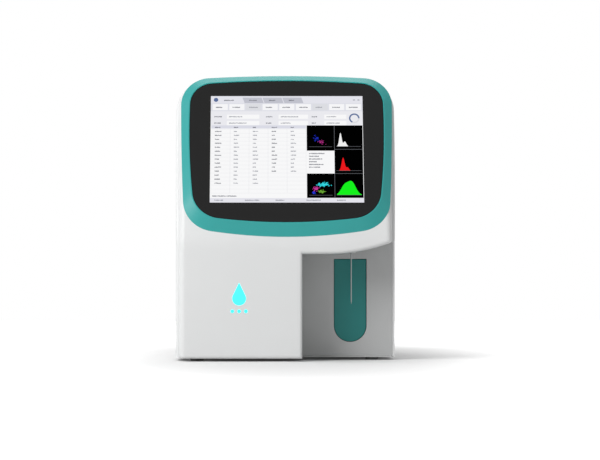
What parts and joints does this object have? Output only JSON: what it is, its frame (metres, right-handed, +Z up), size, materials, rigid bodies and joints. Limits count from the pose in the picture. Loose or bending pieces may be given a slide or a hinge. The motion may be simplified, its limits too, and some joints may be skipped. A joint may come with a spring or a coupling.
{
  "type": "veterinary hematology analyzer",
  "caption": "Benchtop blood cell analyzer: white case, leaning touch screen in a teal bezel, open sampling bay with probe and start key, side service door, fluid and power ports behind.",
  "frame": {"origin": "centre of the footprint, on the bench that the feet stand on", "axes": "+Z up, +Y towards the rear of the instrument, +X to the right for someone facing its screen"},
  "size_m": [0.3, 0.4, 0.389],
  "materials": {
    "casing_white": "smooth semi-gloss moulding",
    "teal_plastic": "satin moulding",
    "screen_glass": "black printed border, smooth",
    "display_metal": "plain",
    "frame_steel": "zinc plated sheet",
    "board_green": "solder mask",
    "light_cyan": "clear tinted light guide",
    "liner_grey": "fine grain moulding",
    "black_plastic": "moulded",
    "wipe_white": "machined",
    "bright_steel": "ground",
    "bare_aluminium": "machined",
    "belt_rubber": "moulded",
    "foot_rubber": "moulded",
    "motor_black": "black oxide",
    "panel_grey": "fine powder coat",
    "guard_wire": "plated",
    "port_plastic": "moulded",
    "stud_brass": "nickel-free, plain",
    "clear_plastic": "machined and polished",
    "barrel_glass": "ground bore",
    "pump_grey": "moulded"
  },
  "bodies": {
    "case": {"front_cover": "casing_white", "housing_cover": "casing_white", "screen_bezel": "teal_plastic", "touch_glass": "screen_glass", "lcd_module": "display_metal", "screen_bracket": "frame_steel", "mid_frame": "frame_steel", "lift_bracket": "frame_steel", "bath_bracket": "frame_steel", "syringe_frame": "frame_steel", "display_board": "board_green", "light_board": "board_green", "main_board": "board_green", "io_board": "board_green", "status_light": "light_cyan", "bay_liner": "liner_grey", "key_guide": "black_plastic", "key_switch": "black_plastic", "fan_frame": "black_plastic", "power_inlet": "black_plastic", "switch_frame": "black_plastic", "solenoid_valves": "black_plastic", "probe_wipe": "wipe_white", "lift_rods": "bright_steel", "idler_pin": "bright_steel", "panel_screws": "bright_steel", "hinge_pins": "bright_steel", "optical_bench": "bare_aluminium", "power_supply": "bare_aluminium", "lift_belt": "belt_rubber", "foot_front_left": "foot_rubber", "foot_front_right": "foot_rubber", "foot_rear_left": "foot_rubber", "foot_rear_right": "foot_rubber", "lift_motor": "motor_black", "syringe_motor_1": "motor_black", "syringe_motor_2": "motor_black", "rear_panel": "panel_grey", "base_tray": "panel_grey", "fan_guard": "guard_wire", "reagent_ports": "port_plastic", "ground_post": "stud_brass", "white_cell_bath": "clear_plastic", "red_cell_bath": "clear_plastic", "waste_chamber": "clear_plastic", "valve_block": "clear_plastic", "syringe_barrel_1": "barrel_glass", "syringe_barrel_2": "barrel_glass", "diaphragm_pump_1": "pump_grey", "diaphragm_pump_2": "pump_grey"},
    "lift": {"probe": "bright_steel", "probe_carriage": "bare_aluminium"},
    "drive_pulley_body": {"drive_pulley": "bare_aluminium"},
    "idler_pulley_body": {"idler_pulley": "bare_aluminium"},
    "key": {"start_key": "teal_plastic"},
    "door": {"side_door": "casing_white"},
    "fan": {"fan_rotor": "black_plastic"},
    "rocker": {"power_rocker": "black_plastic"},
    "plunger_1": {"syringe_plunger_1": "bright_steel"},
    "plunger_2": {"syringe_plunger_2": "bright_steel"}
  },
  "joints": [
    {"name": "probe_lift", "type": "slide", "parent": "case", "child": "lift", "axis": [0, 0, 1], "range_m": [0, 0.06]},
    {"name": "drive_pulley_spin", "type": "hinge", "parent": "case", "child": "drive_pulley_body", "pos_m": [0.089, -0.0845, 0.266], "axis": [0, 1, 0], "range_deg": [0, 400]},
    {"name": "idler_pulley_spin", "type": "hinge", "parent": "case", "child": "idler_pulley_body", "pos_m": [0.089, -0.0845, 0.166], "axis": [0, 1, 0], "range_deg": [0, 400]},
    {"name": "start_key_press", "type": "slide", "parent": "case", "child": "key", "axis": [0, 1, 0], "range_m": [0, 0.0025], "stiffness_N_per_m": 600},
    {"name": "side_door_swing", "type": "hinge", "parent": "case", "child": "door", "pos_m": [0.1475, 0.159, 0.185], "axis": [0, 0, 1], "range_deg": [0, 110]},
    {"name": "fan_spin", "type": "hinge", "parent": "case", "child": "fan", "pos_m": [-0.075, 0.17, 0.225], "axis": [0, 1, 0], "continuous": true},
    {"name": "power_rocker_tilt", "type": "hinge", "parent": "case", "child": "rocker", "pos_m": [-0.06, 0.184, 0.06], "axis": [1, 0, 0], "range_deg": [-16, 0]},
    {"name": "syringe_1_stroke", "type": "slide", "parent": "case", "child": "plunger_1", "axis": [0, 0, 1], "range_m": [-0.04, 0]},
    {"name": "syringe_2_stroke", "type": "slide", "parent": "case", "child": "plunger_2", "axis": [0, 0, 1], "range_m": [-0.04, 0]}
  ],
  "couplings": [
    {"joint": "drive_pulley_spin", "follows": "probe_lift", "rad_per_m": 116.28},
    {"joint": "idler_pulley_spin", "follows": "probe_lift", "rad_per_m": 116.28}
  ]
}
